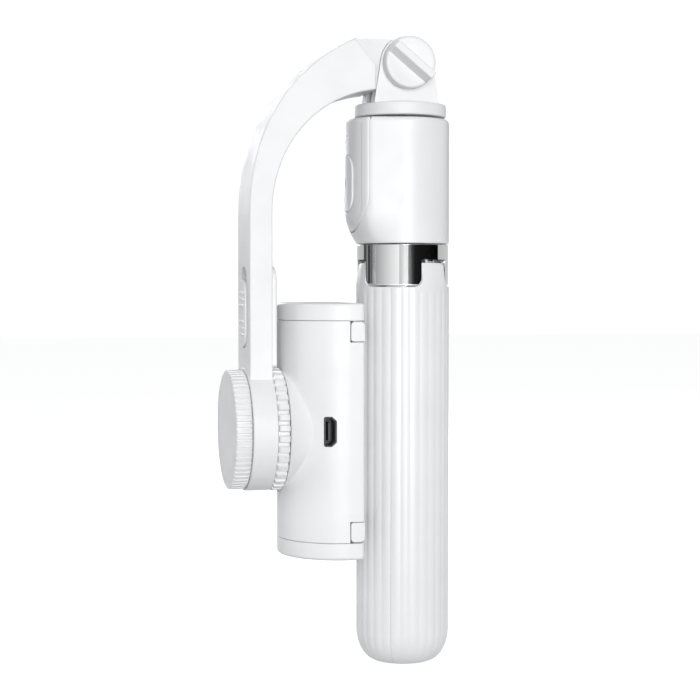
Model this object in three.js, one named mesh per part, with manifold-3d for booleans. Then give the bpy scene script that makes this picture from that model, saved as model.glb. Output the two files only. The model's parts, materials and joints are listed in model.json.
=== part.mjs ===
// Folding one-axis phone gimbal with a telescopic pole and a handle made of three tripod legs.
// Millimetres, +Z up. The origin is on the handle's axis, at the flat lower end of the closed legs.
// The folded arm and the phone clamp lie on the -X side of the handle.

import * as THREE from "three";
import { mergeVertices } from "three/addons/utils/BufferGeometryUtils.js";
import Module from "manifold-3d";

const wasm = await Module();
wasm.setup();

const rad = THREE.MathUtils.degToRad;

// ---- driving dimensions ----

const GAP = 0.3; // between pieces that touch or run on each other

// Tripod legs: three 120 degree sectors round the pole
const LEG_ANGLES = { c: rad(180), a: rad(300), b: rad(60) };
const HANDLE_R = 13.87;
const LEG_FLAT_R = 7.3;
const LEG_ROUND_H = 10.7;
const LEG_TOP = 112.05;
const LEG_BORE_R = 9.4;
const LEG_BORE_FLOOR = 12;
const LUG_TOP = 119;
const LUG_HALF_W = 4.7;
const LUG_INNER = 9.35;
const LEG_PIVOT_R = 11.4;
const LEG_PIVOT_Z = 116.8;
const LEG_PIN_R = 0.75;
const LEG_PIN_HALF = 6.4;
const PIN_HOLE_R = 1.05;

// Chrome hub that carries the legs
const HUB_R = 13.57;
const HUB_BORE_R = 9.3;
const HUB_LOW = 112.35;
const HUB_TOP = 124.4;
const HUB_POCKET_TOP = 119.5;
const HUB_POCKET_HALF_W = 5;

// Telescopic pole: a fixed tube and six sections that slide up out of it
const POLE_SECTIONS = 6;
const POLE_R = 9;
const POLE_STEP = 1;
const POLE_WALL = 0.5;
const POLE_LOW = 14;
const POLE_TOP = 124.3;
const POLE_FLARE_H = 5;
const POLE_NECK_H = 4;
const POLE_SIDE_GAP = 0.1;
const LAST_TUBE_TOP = 142;

// Head with the remote control's panel on its front
const HEAD_LOW = 124.7;
const HEAD_TOP = 161.5;
const HEAD_R = 13.8;
const HEAD_WALL = 1.7;
const PANEL_FACE = 17.2;
const PANEL_BULGE_R = 15.7;
const PANEL_HALF_W = 9.9;
const CHIN_H = 10;
const INSERT_HALF_W = 9.2;
const INSERT_LOW = 129.3;
const INSERT_TOP = 160.9;
const INSERT_DEPTH = 2.4;
const BUTTON_HALF_W = 4.8;
const BUTTON_LOW = 134;
const BUTTON_TOP = 151;
const BUTTON_PROUD = 0.35;

// Swivel and fork on the head
const SWIVEL_X = -0.8;
const DISC_R = 13.6;
const DISC_LOW = 162.1;
const DISC_TOP = 165.8;
const SPIGOT_R = 5;
const SPIGOT_LOW = 157.6;
const FOLD_X = -0.9;
const FOLD_Z = 177.3;
const EAR_R = 8;
const EAR_BASE_HALF_W = 9;
const EAR_IN = 3.3;
const EAR_OUT = 7.8;
const FOLD_BOLT_R = 2;

// Lock knob on the fork's front ear
const KNOB_R = 7.5;
const KNOB_BACK = -8.2;
const KNOB_FRONT = -12.4;
const KNOB_BAR_FRONT = -17.2;
const KNOB_BAR_TURN = rad(39);

// Arm
const ARM_HALF_W = 9.9;
const ARM_OUT = -48.2;
const ARM_IN = -41.5;
const ARM_STRAIGHT_TOP = 133;
const ARM_CREST_X = -16.9;
const ARM_CREST_Z = 184;
const ARM_SHOULDER_X = -11.4;
const ARM_SHOULDER_Z = 177;
const ARM_HEEL_X = -11.4;
const ARM_HEEL_Z = 169.3;
const TONGUE_R = 7.3;
const TONGUE_HALF_W = 3;
const COVER_IN = -39.9;
const COVER_LOW = 88.9;
const COVER_TOP = 118;
const COVER_HALF_W = 8.3;
const SWITCH_SLOT_LOW = 94.1;
const SWITCH_SLOT_TOP = 118;
const SWITCH_SLOT_HALF_W = 4.8;
const SWITCH_TRAVEL = 3.6;

// Gimbal motor, about an axis along X
const MOTOR_Z = 70.3;
const MOTOR_R = 18;
const MOTOR_OUT = -48.6;
const MOTOR_IN = -41.4;
const MOTOR_CAVITY_R = 15.6;
const MOTOR_CAVITY_OUT = -47.1;
const SHAFT_R = 2;
const SHAFT_OUT = -52;
const SHAFT_IN = -36.6;
const WHEEL_R = 17.5;
const WHEEL_OUT = -53.4;
const WHEEL_IN = -48.9;
const RING_R = 18.1;
const RING_OUT = -41;
const RING_IN = -38;

// Phone clamp: a D section along Z with a sliding jaw at each end
const CLAMP_CX = -19.9;
const CLAMP_R = 18.2;
const CLAMP_WALL = 1.8;
const CLAMP_FACE = -16.2;
const PAD_FACE = -15.9;
const CLAMP_HALF = 37;
const JAW_T = 5;
const SEAM = CLAMP_HALF - JAW_T;
const FAIRING_OUT = -37.7;
const FAIRING_IN = -30.4;
const FAIRING_R = 17.5;
const FAIRING_IN_R = 14.9;
const CAVITY_BACK = -35.9;
const PLATE_BACK = -17.7;
const CLAW_BACK = -20.4;
const CLAW_LOW = 26;
const CLAW_HEEL = 0.8; // chamfer that lets a finger swing past the clamp
const CLAW_PIVOT_X = (CLAW_BACK + CLAMP_FACE) / 2;
const CLAW_PIVOT_UP = 29.7;
const CLAW_BAR_R = 1.35;
const FINGER_IN = 14.5;
const RAIL_LOW = 5;
const SPRING_X = -23.8;
const USB_X = -26.2;
const USB_Z = 70.5;
const USB_H = 8.5;
const USB_W = 3.4;

// ---- finishes ----

const FINISHES = {
  shell: { color: 0xf1f1f2, roughness: 0.45, metalness: 0 },
  soft: { color: 0xe6e7e9, roughness: 0.7, metalness: 0 },
  chrome: { color: 0xd8d9db, roughness: 0.08, metalness: 1 },
  steel: { color: 0xa9abaf, roughness: 0.3, metalness: 1 },
  black: { color: 0x17181a, roughness: 0.5, metalness: 0 },
  board: { color: 0x1e5b34, roughness: 0.6, metalness: 0 },
  cell: { color: 0x8d9299, roughness: 0.4, metalness: 0.6 },
  copper: { color: 0xb0703c, roughness: 0.35, metalness: 1 },
  lens: { color: 0xcfd3da, roughness: 0.15, metalness: 0 },
};

// ---- solids ----

function solidFrom(geometry) {
  const bare = geometry.index ? geometry.toNonIndexed() : geometry.clone();
  bare.deleteAttribute("normal");
  bare.deleteAttribute("uv");
  const merged = mergeVertices(bare, 1e-4);
  const points = merged.attributes.position.array;
  const corners = merged.index.array;
  const kept = [];
  const [p, q, r] = [new THREE.Vector3(), new THREE.Vector3(), new THREE.Vector3()];
  let volume = 0;
  for (let i = 0; i < corners.length; i += 3) {
    const [a, b, c] = [corners[i], corners[i + 1], corners[i + 2]];
    if (a === b || b === c || c === a) continue;
    kept.push(a, b, c);
    p.fromArray(points, 3 * a);
    q.fromArray(points, 3 * b);
    r.fromArray(points, 3 * c);
    volume += p.dot(q.cross(r));
  }
  if (volume < 0) kept.reverse();
  const triVerts = new Uint32Array(kept);
  return new wasm.Manifold(new wasm.Mesh({ numProp: 3, vertProperties: points, triVerts }));
}

function geometryFrom(solid) {
  const mesh = solid.getMesh();
  const geometry = new THREE.BufferGeometry();
  geometry.setAttribute("position", new THREE.BufferAttribute(mesh.vertProperties.slice(), 3));
  geometry.setIndex(new THREE.BufferAttribute(mesh.triVerts.slice(), 1));
  geometry.computeVertexNormals();
  return geometry;
}

const join = (...solids) => solids.reduce((whole, next) => whole.add(next));
const cut = (solid, ...tools) => tools.reduce((whole, tool) => whole.subtract(tool), solid);

function block(x0, x1, y0, y1, z0, z1) {
  const box = new THREE.BoxGeometry(x1 - x0, y1 - y0, z1 - z0);
  return solidFrom(box.translate((x0 + x1) / 2, (y0 + y1) / 2, (z0 + z1) / 2));
}

function extruded(shape, depth, curveSegments) {
  return new THREE.ExtrudeGeometry(shape, { depth, bevelEnabled: false, curveSegments });
}

// A shape drawn in X and Y, raised from z0 to z1
function prismZ(shape, z0, z1, curveSegments = 24) {
  return solidFrom(extruded(shape, z1 - z0, curveSegments).translate(0, 0, z0));
}

// A shape drawn in X and Z, carried from y0 to y1
function prismY(shape, y0, y1, curveSegments = 16) {
  return solidFrom(extruded(shape, y1 - y0, curveSegments).rotateX(Math.PI / 2).translate(0, y1, 0));
}

// A shape drawn in Y and Z, carried from x0 to x1
function prismX(shape, x0, x1, curveSegments = 16) {
  const turn = new THREE.Matrix4().makeBasis(
    new THREE.Vector3(0, 1, 0),
    new THREE.Vector3(0, 0, 1),
    new THREE.Vector3(1, 0, 0),
  );
  return solidFrom(extruded(shape, x1 - x0, curveSegments).applyMatrix4(turn).translate(x0, 0, 0));
}

function latheGeometry(profile, segments) {
  const closed = [...profile, profile[0]].map(([r, h]) => new THREE.Vector2(r, h));
  return new THREE.LatheGeometry(closed, segments);
}

// A closed profile of [radius, height] points turned about Z, about a line along X, or along Y
const turnedZ = (profile, segments = 32) => solidFrom(latheGeometry(profile, segments).rotateX(Math.PI / 2));

function turnedX(profile, segments = 36, z = MOTOR_Z) {
  return solidFrom(latheGeometry(profile, segments).rotateZ(-Math.PI / 2).translate(0, 0, z));
}

function turnedY(profile, segments, x, z) {
  return solidFrom(latheGeometry(profile, segments).translate(x, 0, z));
}

// Profile of a plain ring or, with an inner radius of 0, of a plain disc
const ringProfile = (inner, outer, low, high) => [
  [inner, low],
  [outer, low],
  [outer, high],
  [inner, high],
];

// An outline through points [a, b], closed
function outline(points) {
  const shape = new THREE.Shape();
  points.forEach(([a, b], i) => (i ? shape.lineTo(a, b) : shape.moveTo(a, b)));
  shape.closePath();
  return shape;
}

// An upright pill: straight sides, round ends
function pill(halfWidth, low, high) {
  const shape = new THREE.Shape();
  shape.moveTo(halfWidth, low + halfWidth);
  shape.lineTo(halfWidth, high - halfWidth);
  shape.absarc(0, high - halfWidth, halfWidth, 0, Math.PI, false);
  shape.lineTo(-halfWidth, low + halfWidth);
  shape.absarc(0, low + halfWidth, halfWidth, Math.PI, 2 * Math.PI, false);
  return shape;
}

function addPart(group, name, solid, finish, place = {}) {
  const mesh = new THREE.Mesh(geometryFrom(solid), new THREE.MeshStandardMaterial(FINISHES[finish]));
  mesh.name = name;
  mesh.rotation.set(place.turnX ?? 0, 0, place.turnZ ?? 0);
  mesh.position.set(0, 0, place.z ?? 0);
  group.add(mesh);
}

// ---- handle: legs, hub, pole ----

// One leg, drawn with its middle on +X
function makeLeg() {
  const rounding = [0, 0.2, 0.4, 0.6, 0.8, 1].map((t) => [
    LEG_FLAT_R + (HANDLE_R - LEG_FLAT_R) * Math.sin((t * Math.PI) / 2),
    LEG_ROUND_H * (1 - Math.cos((t * Math.PI) / 2)),
  ]);
  const barrel = turnedZ([[0, 0], ...rounding, [HANDLE_R, LEG_TOP], [0, LEG_TOP]], 48);
  const bore = turnedZ(ringProfile(0, LEG_BORE_R, LEG_BORE_FLOOR, LUG_TOP), 36);
  const reach = 3 * HANDLE_R;
  const seamGap = GAP;
  const wedge = outline([
    [seamGap, 0],
    [seamGap + reach * Math.cos(rad(60)), -reach * Math.sin(rad(60))],
    [seamGap + reach, 0],
    [seamGap + reach * Math.cos(rad(60)), reach * Math.sin(rad(60))],
  ]);
  const sector = cut(barrel, bore).intersect(prismZ(wedge, -1, LUG_TOP));

  const knuckle = LUG_TOP - LEG_PIVOT_Z;
  const lugSide = new THREE.Shape();
  lugSide.moveTo(LUG_INNER, LEG_TOP - 3);
  lugSide.lineTo(HANDLE_R + 1, LEG_TOP - 3);
  lugSide.lineTo(HANDLE_R + 1, LEG_TOP);
  lugSide.lineTo(HANDLE_R, LEG_TOP + 1);
  lugSide.lineTo(LEG_PIVOT_R + knuckle * Math.cos(rad(15)), LEG_PIVOT_Z + knuckle * Math.sin(rad(15)));
  lugSide.absarc(LEG_PIVOT_R, LEG_PIVOT_Z, knuckle, rad(15), rad(165), false);
  lugSide.lineTo(LUG_INNER, LEG_PIVOT_Z);
  const lugEnd = turnedZ(ringProfile(0, HANDLE_R, 0, LUG_TOP + 1), 48);
  const lug = prismY(lugSide, -LUG_HALF_W, LUG_HALF_W).intersect(lugEnd);
  const pinHole = turnedY(ringProfile(0, PIN_HOLE_R, -20, 20), 16, LEG_PIVOT_R, LEG_PIVOT_Z);
  return cut(join(sector, lug), pinHole);
}

function makeHub() {
  const rim = 0.5;
  let hub = turnedZ(
    [
      [HUB_BORE_R, HUB_LOW],
      [HUB_R, HUB_LOW],
      [HUB_R, HUB_TOP - rim],
      [HUB_R - rim, HUB_TOP],
      [HUB_BORE_R, HUB_TOP],
    ],
    36,
  );
  const pocket = join(
    block(0, 20, -HUB_POCKET_HALF_W, HUB_POCKET_HALF_W, HUB_LOW - 1, HUB_POCKET_TOP),
    turnedY(
      ringProfile(0, PIN_HOLE_R, -LEG_PIN_HALF - GAP, LEG_PIN_HALF + GAP),
      16,
      LEG_PIVOT_R,
      LEG_PIVOT_Z,
    ),
  );
  for (const angle of Object.values(LEG_ANGLES)) {
    hub = cut(hub, pocket.rotate([0, 0, THREE.MathUtils.radToDeg(angle)]));
  }
  return hub;
}

// Section 0 is the fixed tube. Each has a flared foot and a necked mouth that stop the next one.
function makePoleTube(section) {
  const outer = POLE_R - POLE_STEP * section;
  const inner = outer - POLE_WALL;
  const flare = section === 0 ? outer : outer + POLE_STEP - POLE_WALL - POLE_SIDE_GAP;
  const last = section === POLE_SECTIONS;
  const neck = last ? inner : outer - POLE_STEP + POLE_SIDE_GAP;
  const low = POLE_LOW + 0.4 * section;
  const top = last ? LAST_TUBE_TOP : POLE_TOP;
  return turnedZ(
    [
      [inner, low],
      [flare, low],
      [flare, low + POLE_FLARE_H],
      [outer, low + POLE_FLARE_H + 0.4],
      [outer, top],
      [neck, top],
      [neck, top - POLE_NECK_H],
      [inner, top - POLE_NECK_H - 0.4],
    ],
    18,
  );
}

// ---- head ----

// Outline of the head from above: round at the back, a slightly bulging panel on -X
function headOutline(inset) {
  const radius = HEAD_R - inset;
  const bulge = PANEL_BULGE_R - inset;
  const halfWidth = PANEL_HALF_W - inset;
  const bulgeX = PANEL_BULGE_R - PANEL_FACE;
  const bulgeAngle = Math.asin(halfWidth / bulge);
  const cornerX = bulgeX - bulge * Math.cos(bulgeAngle);
  const cornerR = Math.hypot(cornerX, halfWidth);
  const tangent = Math.atan2(halfWidth, cornerX) - Math.acos(radius / cornerR);
  const shape = new THREE.Shape();
  shape.absarc(0, 0, radius, -tangent, tangent, false);
  shape.absarc(bulgeX, 0, bulge, Math.PI - bulgeAngle, Math.PI + bulgeAngle, false);
  shape.closePath();
  return shape;
}

// Everything in front of the chin's slope and outside the head's round part
function chinTool() {
  const slope = outline([
    [-PANEL_FACE - 5, HEAD_LOW - 5],
    [-HEAD_R + 2, HEAD_LOW - 5],
    [-HEAD_R, HEAD_LOW],
    [-PANEL_FACE, HEAD_LOW + CHIN_H],
    [-PANEL_FACE - 5, HEAD_LOW + CHIN_H],
  ]);
  return cut(prismY(slope, -20, 20), turnedZ(ringProfile(0, HEAD_R, HEAD_LOW - 6, HEAD_TOP), 32));
}

// The slab of the panel insert's outline, from depth inside the face to outside
function insertSlab(grow, depth) {
  const shape = new THREE.Shape();
  const half = INSERT_HALF_W + grow;
  shape.moveTo(half, INSERT_TOP + grow);
  shape.lineTo(-half, INSERT_TOP + grow);
  shape.lineTo(-half, INSERT_LOW + INSERT_HALF_W);
  shape.absarc(0, INSERT_LOW + INSERT_HALF_W, half, Math.PI, 2 * Math.PI, false);
  shape.closePath();
  return prismX(shape, -PANEL_FACE - 2, -PANEL_FACE + depth);
}

function makeHead() {
  const cavityLow = HEAD_LOW + HEAD_WALL;
  const cavityTop = HEAD_TOP - 2.4;
  return cut(
    prismZ(headOutline(0), HEAD_LOW, HEAD_TOP, 16),
    chinTool(),
    turnedZ(ringProfile(0, HEAD_R - HEAD_WALL, cavityLow, cavityTop), 28),
    turnedZ(ringProfile(0, POLE_R + 1, HEAD_LOW - 1, cavityLow + 1), 28),
    turnedZ(ringProfile(0, SPIGOT_R + GAP, cavityTop - 1, HEAD_TOP + 1), 28).translate([SWIVEL_X, 0, 0]),
    insertSlab(GAP, INSERT_DEPTH + GAP),
    block(-PANEL_FACE, 0, -3, 3, BUTTON_LOW + 3, BUTTON_TOP - 3),
  );
}

function makePanelInsert() {
  const skin = prismZ(headOutline(0), HEAD_LOW, HEAD_TOP, 16);
  const buttonHole = prismX(pill(BUTTON_HALF_W + GAP, BUTTON_LOW - GAP, BUTTON_TOP + GAP), -20, -10);
  const ledHole = turnedX(ringProfile(0, 0.9, -20, -10), 12, 156);
  return cut(skin.intersect(insertSlab(0, INSERT_DEPTH)), chinTool(), buttonHole, ledHole);
}

function makeButton() {
  const back = -PANEL_FACE + INSERT_DEPTH - 0.8;
  const cap = prismX(pill(BUTTON_HALF_W, BUTTON_LOW, BUTTON_TOP), -PANEL_FACE - BUTTON_PROUD, back);
  const bulge = PANEL_BULGE_R + BUTTON_PROUD;
  const skin = prismZ(
    new THREE.Shape().absarc(PANEL_BULGE_R - PANEL_FACE, 0, bulge, 0, 2 * Math.PI, false),
    BUTTON_LOW - 1,
    BUTTON_TOP + 1,
    60,
  );
  const stem = turnedX(ringProfile(0, 1.5, back - 1, -11.2), 16, (BUTTON_LOW + BUTTON_TOP) / 2);
  const dimple = turnedX(
    [
      [0, -PANEL_FACE - 1],
      [1.6, -PANEL_FACE - 1],
      [1.6, -PANEL_FACE - BUTTON_PROUD + 0.05],
      [0, -PANEL_FACE + 0.15],
    ],
    20,
    (BUTTON_LOW + BUTTON_TOP) / 2,
  );
  return cut(join(cap.intersect(skin), stem), dimple);
}

// ---- swivel, fork and knob ----

const turnedSwivel = (profile, segments) => turnedZ(profile, segments).translate([SWIVEL_X, 0, 0]);

function makeFork() {
  const disc = turnedSwivel(
    [
      [1.9, SPIGOT_LOW],
      [SPIGOT_R, SPIGOT_LOW],
      [SPIGOT_R, DISC_LOW],
      [DISC_R - 0.5, DISC_LOW],
      [DISC_R, DISC_LOW + 0.5],
      [DISC_R, DISC_TOP - 0.5],
      [DISC_R - 0.5, DISC_TOP],
      [1.9, DISC_TOP],
    ],
    36,
  );
  const ear = new THREE.Shape();
  ear.moveTo(FOLD_X - EAR_BASE_HALF_W, DISC_TOP - 1);
  ear.lineTo(FOLD_X + EAR_BASE_HALF_W, DISC_TOP - 1);
  ear.lineTo(FOLD_X + EAR_BASE_HALF_W, DISC_TOP + 0.6);
  ear.lineTo(FOLD_X + EAR_R, FOLD_Z);
  ear.absarc(FOLD_X, FOLD_Z, EAR_R, 0, Math.PI, false);
  ear.lineTo(FOLD_X - EAR_BASE_HALF_W, DISC_TOP + 0.6);
  ear.closePath();
  const limit = turnedSwivel(ringProfile(0, DISC_R - 0.3, DISC_TOP - 2, FOLD_Z + EAR_R + 1), 36);
  const ears = [
    prismY(ear, -EAR_OUT, -EAR_IN, 12),
    prismY(ear, EAR_IN, EAR_OUT, 12),
  ].map((side) => side.intersect(limit));
  const boltHole = turnedY(ringProfile(0, FOLD_BOLT_R + GAP, -20, 20), 24, FOLD_X, FOLD_Z);
  const screwSink = turnedSwivel(ringProfile(0, 3.1, DISC_TOP - 1.6, DISC_TOP + 1), 24);
  return cut(join(disc, ...ears), boltHole, screwSink);
}

function makeKnob() {
  const edge = 0.8;
  const disc = turnedY(
    [
      [0, KNOB_FRONT],
      [KNOB_R - edge, KNOB_FRONT],
      [KNOB_R, KNOB_FRONT + edge],
      [KNOB_R, KNOB_BACK],
      [0, KNOB_BACK],
    ],
    28,
    0,
    0,
  );
  const bar = new THREE.Shape();
  const [tipW, rootW] = [1.3, 1.9];
  bar.moveTo(-rootW, KNOB_FRONT + 1);
  bar.lineTo(rootW, KNOB_FRONT + 1);
  bar.lineTo(tipW, KNOB_BAR_FRONT);
  bar.lineTo(-tipW, KNOB_BAR_FRONT);
  bar.closePath();
  const grip = prismZ(bar, -KNOB_R + 0.2, KNOB_R - 0.2);
  const tilt = THREE.MathUtils.radToDeg(Math.PI / 2 + KNOB_BAR_TURN);
  return join(disc, grip).rotate([0, tilt, 0]).translate([FOLD_X, 0, FOLD_Z]);
}

// ---- arm ----

function armSide() {
  const side = new THREE.Shape();
  side.moveTo(ARM_OUT, MOTOR_Z);
  side.lineTo(ARM_OUT, ARM_STRAIGHT_TOP);
  side.bezierCurveTo(ARM_OUT, 156, -37.5, 174.5, ARM_CREST_X, ARM_CREST_Z);
  side.lineTo(ARM_SHOULDER_X, ARM_SHOULDER_Z);
  side.lineTo(ARM_HEEL_X, ARM_HEEL_Z);
  side.bezierCurveTo(-28, 167.3, ARM_IN, 153, ARM_IN, ARM_STRAIGHT_TOP);
  side.lineTo(ARM_IN, MOTOR_Z);
  side.closePath();
  return side;
}

function tongueSide() {
  const side = new THREE.Shape();
  side.absarc(FOLD_X, FOLD_Z, TONGUE_R, -Math.PI / 2, Math.PI / 2, false);
  side.lineTo(ARM_CREST_X, FOLD_Z + TONGUE_R);
  side.lineTo(ARM_CREST_X - 1, ARM_HEEL_Z + 2);
  side.lineTo(ARM_HEEL_X, ARM_HEEL_Z);
  side.closePath();
  return side;
}

function makeArm() {
  const body = join(
    prismY(armSide(), -ARM_HALF_W, ARM_HALF_W, 14),
    prismY(tongueSide(), -TONGUE_HALF_W, TONGUE_HALF_W, 14),
    turnedX(ringProfile(0, MOTOR_R, MOTOR_OUT, MOTOR_IN)),
  );
  return cut(
    body,
    turnedX(ringProfile(0, MOTOR_CAVITY_R, MOTOR_CAVITY_OUT, MOTOR_IN + 5)),
    turnedX(ringProfile(0, 4.6, MOTOR_OUT - 1, MOTOR_CAVITY_OUT + 1), 24),
    turnedY(ringProfile(0, FOLD_BOLT_R + GAP, -20, 20), 24, FOLD_X, FOLD_Z),
    prismX(pill(SWITCH_SLOT_HALF_W, SWITCH_SLOT_LOW, SWITCH_SLOT_TOP), ARM_OUT - 1, ARM_OUT + 1.5),
    block(ARM_IN - 4.5, ARM_IN + 1, -COVER_HALF_W + 1.5, COVER_HALF_W - 1.5, COVER_LOW + 2, COVER_TOP - 4),
  );
}

function makeArmCover() {
  const shape = new THREE.Shape();
  const corner = 5;
  shape.moveTo(-COVER_HALF_W, COVER_LOW);
  shape.lineTo(COVER_HALF_W, COVER_LOW);
  shape.lineTo(COVER_HALF_W, COVER_TOP - corner);
  shape.absarc(COVER_HALF_W - corner, COVER_TOP - corner, corner, 0, Math.PI / 2, false);
  shape.absarc(corner - COVER_HALF_W, COVER_TOP - corner, corner, Math.PI / 2, Math.PI, false);
  shape.closePath();
  return prismX(shape, ARM_IN + 0.05, COVER_IN, 6);
}

function makeSwitchKnob() {
  const low = SWITCH_SLOT_LOW + GAP;
  const high = SWITCH_SLOT_TOP - SWITCH_TRAVEL - GAP;
  const middle = (low + high) / 2;
  let knob = prismX(pill(SWITCH_SLOT_HALF_W - GAP, low, high), ARM_OUT - 0.6, ARM_OUT + 1.2);
  const ridge = 0.8;
  for (const step of [-6, -4.2, -2.4, 2.4, 4.2, 6]) {
    const z = middle + step;
    knob = join(knob, block(ARM_OUT - 1.1, ARM_OUT, -2.8, 2.8, z - ridge / 2, z + ridge / 2));
  }
  return knob;
}

// ---- gimbal motor ----

function makeStator() {
  const teeth = 9;
  const shape = new THREE.Shape();
  const [core, tip] = [6.6, 11.7];
  for (let i = 0; i < teeth; i += 1) {
    const middle = (i * 2 * Math.PI) / teeth;
    const at = (r, turn) => [r * Math.cos(middle + turn), r * Math.sin(middle + turn)];
    const points = [at(core, -0.24), at(tip, -0.13), at(tip, 0.13), at(core, 0.24)];
    points.forEach(([a, b], j) => (i || j ? shape.lineTo(a, b) : shape.moveTo(a, b)));
  }
  shape.closePath();
  shape.holes.push(new THREE.Path().absarc(0, 0, 5, 0, 2 * Math.PI, true));
  return prismX(shape, -46.7, -43.1, 24).translate([0, 0, MOTOR_Z]);
}

// A disc with a knurled rim, drawn about X
function knurledDisc(radius, ridges, depth, x0, x1) {
  const shape = new THREE.Shape();
  for (let i = 0; i < 2 * ridges; i += 1) {
    const angle = (i * Math.PI) / ridges;
    const r = i % 2 ? radius - depth : radius;
    const [a, b] = [r * Math.cos(angle), r * Math.sin(angle)];
    if (i) shape.lineTo(a, b);
    else shape.moveTo(a, b);
  }
  shape.closePath();
  return prismX(shape, x0, x1).translate([0, 0, MOTOR_Z]);
}

// ---- clamp ----

function dShape(radius, front) {
  const shape = new THREE.Shape();
  shape.moveTo(front, -radius);
  shape.lineTo(front, radius);
  shape.lineTo(CLAMP_CX, radius);
  shape.absarc(CLAMP_CX, 0, radius, Math.PI / 2, 1.5 * Math.PI, false);
  return shape;
}

function makeClampBody() {
  const [low, high] = [MOTOR_Z - SEAM + GAP / 2, MOTOR_Z + SEAM - GAP / 2];
  const half = CLAMP_R - CLAMP_WALL;
  const fairing = turnedX(
    [
      [0, FAIRING_OUT],
      [FAIRING_R, FAIRING_OUT],
      [FAIRING_IN_R, FAIRING_IN],
      [0, FAIRING_IN],
    ],
    32,
  );
  const cavity = prismZ(dShape(half, 0), low - 1, high + 1, 12).intersect(block(CAVITY_BACK, 0, -30, 30, 0, 150));
  const shell = cut(
    join(prismZ(dShape(CLAMP_R, PLATE_BACK - 0.15), low, high, 16), fairing),
    cavity,
    turnedX(ringProfile(0, RING_R + 0.6, -45, FAIRING_OUT)),
  );
  const bridge = block(SPRING_X - 2, SPRING_X + 2.4, -half - 0.5, half + 0.5, MOTOR_Z - 2, MOTOR_Z + 2);
  const notches = [1, -1].map((side) => {
    const [z0, z1] = [MOTOR_Z + side * (CLAW_LOW - GAP), MOTOR_Z + side * (CLAMP_HALF + 1)];
    return block(CLAW_BACK - GAP, 0, -30, 30, Math.min(z0, z1), Math.max(z0, z1));
  });
  const usbHole = block(
    USB_X - USB_W / 2 - GAP,
    USB_X + USB_W / 2 + GAP,
    -25,
    -10,
    USB_Z - USB_H / 2 - GAP,
    USB_Z + USB_H / 2 + GAP,
  );
  const shaftHole = turnedX(ringProfile(0, SHAFT_R + GAP, -45, SHAFT_IN + 3), 20);
  return cut(join(shell, bridge), ...notches, usbHole, shaftHole);
}

// The front wall of the clamp, behind the pads
function makeFacePlate() {
  const half = CLAW_LOW - GAP;
  return block(PLATE_BACK, CLAMP_FACE, -CLAMP_R, CLAMP_R, MOTOR_Z - half, MOTOR_Z + half);
}

// The upper jaw, with heights counted from the clamp's middle
function makeJaw() {
  const capLow = SEAM + GAP / 2;
  const rails = [1, -1].map((side) => {
    const [y0, y1] = side > 0 ? [12.1, 15.4] : [-15.4, -12.1];
    return block(-24.2, CLAW_BACK - 0.8, y0, y1, RAIL_LOW, capLow + 1);
  });
  const clips = [1, -1].map((side) => {
    const [y0, y1] = side > 0 ? [6, 9] : [-9, -6];
    return block(CLAW_PIVOT_X - 2.4, CLAW_PIVOT_X + 0.9, y0, y1, CLAW_PIVOT_UP - 2.4, capLow + 1);
  });
  const springHook = block(SPRING_X - 2, SPRING_X + 2.4, -11.5, 11.5, capLow - 3, capLow + 1);
  const barSeat = turnedY(
    ringProfile(0, CLAW_BAR_R + GAP, -20, 20),
    20,
    CLAW_PIVOT_X,
    CLAW_PIVOT_UP,
  );
  const fingerRoom = block(CLAW_BACK - GAP, 0, -30, 30, CLAW_PIVOT_UP - 3, capLow);
  const clipCore = block(CLAW_BACK - GAP, 0, -9, 9, CLAW_PIVOT_UP - 3, capLow);
  const cap = prismZ(dShape(CLAMP_R, CLAMP_FACE), capLow, CLAMP_HALF, 16);
  const inner = cut(join(...rails, springHook), cut(fingerRoom, clipCore));
  return cut(join(cap, inner, ...clips), barSeat);
}

// The upper claw: two fingers at the ends of a round bar
function makeClaw() {
  const finger = new THREE.Shape();
  const front = CLAMP_FACE;
  finger.moveTo(CLAW_BACK, CLAW_LOW + CLAW_HEEL);
  finger.lineTo(CLAW_BACK + CLAW_HEEL, CLAW_LOW);
  finger.lineTo(front, CLAW_LOW);
  finger.absarc(CLAW_PIVOT_X, CLAW_PIVOT_UP, (front - CLAW_BACK) / 2, 0, Math.PI, false);
  finger.closePath();
  return join(
    turnedY(ringProfile(0, CLAW_BAR_R, -CLAMP_R + 0.5, CLAMP_R - 0.5), 20, CLAW_PIVOT_X, CLAW_PIVOT_UP),
    prismY(finger, -CLAMP_R, -FINGER_IN, 8),
    prismY(finger, FINGER_IN, CLAMP_R, 8),
  );
}

// A coil spring from low to high, counted from the clamp's middle, on the side given
function makeSpring(side, low, high) {
  const [turns, coilR, wireR, sides] = [6, 1.9, 0.35, 4];
  class Helix extends THREE.Curve {
    getPoint(t) {
      const angle = t * turns * 2 * Math.PI;
      return new THREE.Vector3(
        SPRING_X + coilR * Math.cos(angle),
        side * 8.4 + coilR * Math.sin(angle),
        low + (high - low) * t,
      );
    }
  }
  const wire = outline(
    Array.from({ length: sides }, (_, i) => [
      wireR * Math.cos((i * 2 * Math.PI) / sides),
      wireR * Math.sin((i * 2 * Math.PI) / sides),
    ]),
  );
  const options = { steps: turns * 8, bevelEnabled: false, extrudePath: new Helix() };
  return solidFrom(new THREE.ExtrudeGeometry(wire, options));
}

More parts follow.
